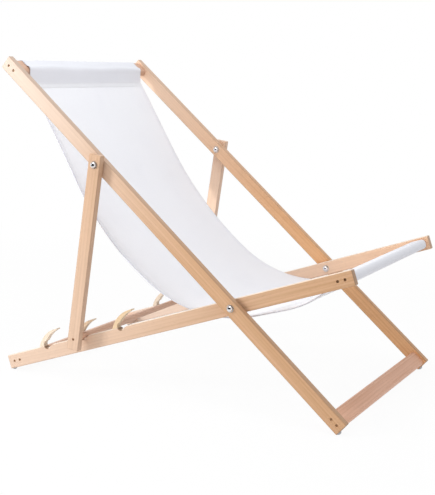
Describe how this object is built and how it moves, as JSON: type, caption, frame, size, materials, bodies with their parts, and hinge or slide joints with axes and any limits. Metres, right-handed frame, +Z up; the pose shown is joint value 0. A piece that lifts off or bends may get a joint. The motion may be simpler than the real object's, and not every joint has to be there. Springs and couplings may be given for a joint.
{
  "type": "folding deck chair",
  "caption": "Folding sling deck chair: nested wooden frames on pivot bolts, a canvas sling seat and a round prop bar held in hooked notches on the seat rails.",
  "frame": {"origin": "on the floor, at the middle of the open chair's bounding box", "axes": "+Z up, -Y the way the sitter faces, +X to the sitter's left"},
  "size_m": [0.6378, 0.9018, 0.7641],
  "materials": {
    "beech": "pale beech, thin satin lacquer",
    "canvas": "plain white cotton canvas",
    "bright_steel": "bright nickel plate",
    "washer_steel": "pale zinc plate",
    "screw_steel": "brown passivated zinc",
    "glide_steel": "dull zinc plate"
  },
  "bodies": {
    "seat_frame": {"seat_rail_left": "beech", "seat_rail_right": "beech", "front_crossbar": "beech", "rear_crossbar": "beech", "front_crossbar_screws": "screw_steel", "rear_crossbar_screws": "screw_steel", "rear_foot_glides": "glide_steel", "notch_hook_1_left": "beech", "notch_hook_1_right": "beech", "notch_hook_2_left": "beech", "notch_hook_2_right": "beech", "notch_hook_3_left": "beech", "notch_hook_3_right": "beech"},
    "back_frame": {"back_rail_left": "beech", "back_rail_right": "beech", "head_crossbar": "beech", "foot_crossbar": "beech", "head_crossbar_screws": "screw_steel", "foot_crossbar_screws": "screw_steel", "front_foot_glides": "glide_steel", "seat_pivot_bolt_left": "bright_steel", "seat_pivot_bolt_right": "bright_steel", "seat_pivot_dome_nut_left": "bright_steel", "seat_pivot_dome_nut_right": "bright_steel", "prop_pivot_bolt_left": "bright_steel", "prop_pivot_bolt_right": "bright_steel", "prop_pivot_dome_nut_left": "bright_steel", "prop_pivot_dome_nut_right": "bright_steel", "seat_pivot_washers": "washer_steel", "seat_pivot_spacers": "washer_steel", "prop_pivot_washers": "washer_steel", "prop_pivot_spacers": "washer_steel", "sling": "canvas"},
    "prop_frame": {"prop_leg_left": "beech", "prop_leg_right": "beech", "prop_crossbar": "beech", "prop_crossbar_screws": "screw_steel"}
  },
  "joints": [
    {"name": "back_fold", "type": "hinge", "parent": "seat_frame", "child": "back_frame", "pos_m": [0, -0.17449, 0.23808], "axis": [1, 0, 0], "range_deg": [0, 34], "deforming": ["sling"]},
    {"name": "prop_swing", "type": "hinge", "parent": "back_frame", "child": "prop_frame", "pos_m": [0, 0.16781, 0.52787], "axis": [-1, 0, 0], "range_deg": [0, 36.38]}
  ],
  "couplings": [
    {"joint": "prop_swing", "follows": "back_fold", "ratio": 1.07}
  ]
}
